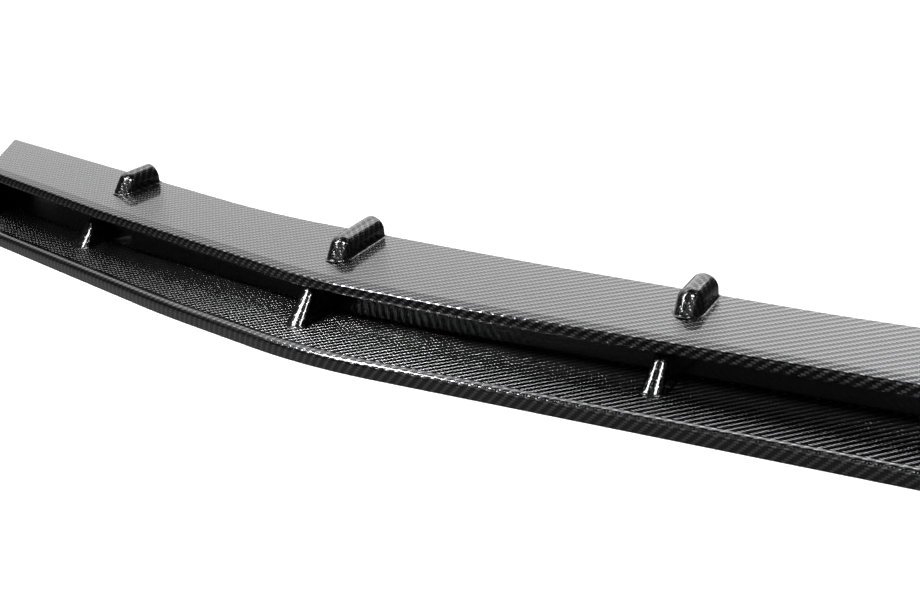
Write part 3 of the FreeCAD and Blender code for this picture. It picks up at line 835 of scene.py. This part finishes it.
@dataclass
class Rib:
    """A raked rib between the two blades, ahead of the wall.

    Lengths are in millimetres. The section is drawn flat, leaned, drawn out and cut to the space.
    """

    number: int
    x: float
    front: float
    wall: float
    width: float = 9.0
    nose_radius: float = 4.2
    lean: float = math.radians(45.0)
    taper: float = 0.9
    foot: float = 1.6
    height: float = 28.0
    chord: float = 90.0
    sunk: float = 90.0
    reach: float = 200.0
    top: float = 9.4
    bite: float = 1.2

    def build(self) -> bpy.types.Object:
        """Builds the rib."""
        rib = Mould()
        half = self.width / 2.0
        foot = self.foot * MM
        section = Chain(Plane.PLAN, (
            (-half, self.chord), (-half, 0.0, self.nose_radius),
            (half, 0.0, self.nose_radius), (half, self.chord)))
        wire = rib.draw(section, Vector(), Vector((1.0, 0.0, 0.0)))
        tilt = Matrix.Rotation(-self.lean, 4, "X")
        place = Matrix.Translation(Vector((self.x, self.front, 0.0)) * MM)
        bmesh.ops.transform(rib.bm, matrix=place @ tilt, verts=rib.bm.verts)
        rise = tilt.to_3x3() @ UP
        bmesh.ops.translate(rib.bm, verts=rib.bm.verts, vec=rise * (-self.sunk * MM))
        verts, _ = rib.extrude(wire)
        bmesh.ops.translate(rib.bm, verts=verts, vec=rise * (self.reach * MM))
        for vert in verts:
            vert[rib.cloth] = vert[rib.cloth] + Vector((0.0, self.reach * MM, 0.0))
        rib.cut(UP * foot, -UP)
        rib.cut(DECK_FRAME @ (UP * (-self.top * MM)), DECK_FRAME.to_3x3() @ UP, close=True)
        back = Vector((0.0, (self.wall + self.bite) * MM, 0.0))
        rib.cut(back, Vector((0.0, 1.0, 0.0)), close=True)
        for vert in rib.bm.verts:
            swell = 1.0 + self.taper * (1.0 - vert.co.z / (self.height * MM))
            vert.co.x = self.x * MM + (vert.co.x - self.x * MM) * swell
        rim = [edge for edge in rib.bm.edges
               if edge.is_boundary and all(vert.co.z < foot + 1e-6 for vert in edge.verts)]
        rib.flare(rim, foot)
        return rib.cast("rib_%d" % self.number, FINE_LAMINATE)


@dataclass
class Studio:
    """Pale floor, lights, backdrop and camera."""

    ground: float = -8.1 * MM
    ground_size: float = 14.0
    centre: tuple[float, float, float] = (-0.3, 0.0, 0.0)
    world_dim: float = 0.06
    eye: tuple[float, float, float] = (0.165, -0.90497, 0.3827)
    right: tuple[float, float, float] = (0.8756, 0.4824, -0.0257)
    down: tuple[float, float, float] = (0.1468, -0.3163, -0.9372)
    forward: tuple[float, float, float] = (-0.4603, 0.8168, -0.3478)
    sensor: float = 36.0
    focal: float = 1395.0 / 920.0

    def build(self) -> None:
        """Builds the stage."""
        self.build_floor()
        self.build_world()
        self.add_panel("rear_panel", (-1.8, 2.6, 1.6), self.centre, (6.0, 3.0), 0.6, 2.1)
        self.add_panel("rear_top", (-1.4, 1.6, 2.9), self.centre, (6.0, 1.0), 2.0, 4.0)
        self.add_panel("front_fill", (0.6, -4.6, 2.6), self.centre, (9.0, 2.4), 0.5, 0.5)
        self.add_light("strip_right", (0.25, -0.70, 1.15), self.centre, (0.36, 0.38), 32.0)
        self.add_light("strip_left", (-0.82, -0.43, 0.66), (-0.4, 0.0, 0.0), (0.20, 0.36), 32.0)
        self.add_camera()

    def build_floor(self) -> None:
        """A large plain floor."""
        bm = bmesh.new()
        bmesh.ops.create_grid(bm, x_segments=1, y_segments=1, size=self.ground_size,
                              matrix=Matrix.Translation((0.0, 0.0, self.ground)))
        mesh = bpy.data.meshes.new("floor")
        bm.to_mesh(mesh)
        bm.free()
        mesh.materials.append(Paper().material())
        floor = bpy.data.objects.new("floor", mesh)
        bpy.context.scene.collection.objects.link(floor)

    def build_world(self) -> None:
        """White to the camera, softer to everything else."""
        world = bpy.data.worlds.new("studio")
        bpy.context.scene.world = world
        world.use_nodes = True
        tree = Tree(world.node_tree)
        dim, bright = (tree.node("Background", inputs={"Color": WHITE, "Strength": strength})
                       for strength in (self.world_dim, 1.0))
        both = tree.by_ray(bright, dim)
        tree.node("OutputWorld", inputs={"Surface": both.outputs[0]})

    def stand(self, item: bpy.types.Object, place: tuple[float, float, float],
              aim: tuple[float, float, float]) -> None:
        """Stands an object at a place in the scene, with its front towards a point."""
        item.location = place
        item.rotation_euler = (Vector(aim) - Vector(place)).to_track_quat("-Z", "Y").to_euler()
        bpy.context.scene.collection.objects.link(item)

    def add_light(self, name: str, place: tuple[float, float, float],
                  aim: tuple[float, float, float], size: tuple[float, float], glow: float) -> None:
        """Adds a rectangular soft light.

        Args:
            name: Name of the light.
            place: Where it stands.
            aim: Point that it faces.
            size: Width and height.
            glow: Radiance of its face.
        """
        data = bpy.data.lights.new(name, "AREA")
        data.shape = "RECTANGLE"
        data.size, data.size_y = size
        data.energy = glow * math.pi * size[0] * size[1]
        self.stand(bpy.data.objects.new(name, data), place, aim)

    def add_panel(self, name: str, place: tuple[float, float, float],
                  aim: tuple[float, float, float], size: tuple[float, float],
                  left: float, right: float) -> None:
        """Adds a wide glowing panel whose glow changes from its left to its right.

        Args:
            name: Name of the panel.
            place: Where its centre stands.
            aim: Point that it faces.
            size: Width and height.
            left: Radiance of its left end, seen from the aim.
            right: Radiance of its right end.
        """
        bm = bmesh.new()
        bmesh.ops.create_grid(bm, x_segments=1, y_segments=1, size=0.5)
        bmesh.ops.scale(bm, vec=(size[0], size[1], 1.0), verts=bm.verts)
        mesh = bpy.data.meshes.new(name)
        bm.to_mesh(mesh)
        bm.free()
        mesh.materials.append(Glow(name, size[0], left, right).material())
        panel = bpy.data.objects.new(name, mesh)
        self.stand(panel, place, aim)

    def add_camera(self) -> None:
        """The camera at the photo's angle."""
        data = bpy.data.cameras.new("camera")
        data.sensor_width = self.sensor
        data.lens = self.focal * self.sensor
        data.clip_start = 0.01
        camera = bpy.data.objects.new("camera", data)
        axes = Matrix((self.right, -Vector(self.down), -Vector(self.forward))).transposed()
        camera.matrix_world = Matrix.Translation(self.eye) @ axes.to_4x4()
        bpy.context.scene.collection.objects.link(camera)
        bpy.context.scene.camera = camera


def main() -> None:
    """Builds the looks of the lip and its stage."""
    logging.basicConfig(level=logging.INFO, format="%(message)s")
    scene = bpy.context.scene
    scene.view_settings.view_transform = "Standard"
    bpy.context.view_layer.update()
    LowerBlade().build()
    UpperBlade().build()
    for place, ((fin_x, rear, length, toe), (rib_x, front, wall)) in enumerate(zip(FINS, RIBS)):
        for side, count in ((-1, 3 - place), (1, 4 + place)):
            fin = Fin(count, side * fin_x, rear * FLAT - FIN_SETBACK, length, toe).build()
            settle(fin, *(("top_fins",) if count == 1 else ()))
            rib = Rib(count, side * rib_x, front, wall).build()
            settle(rib, "channel_rib_%d" % count)
    Studio().build()


if __name__ == "__main__":
    main()
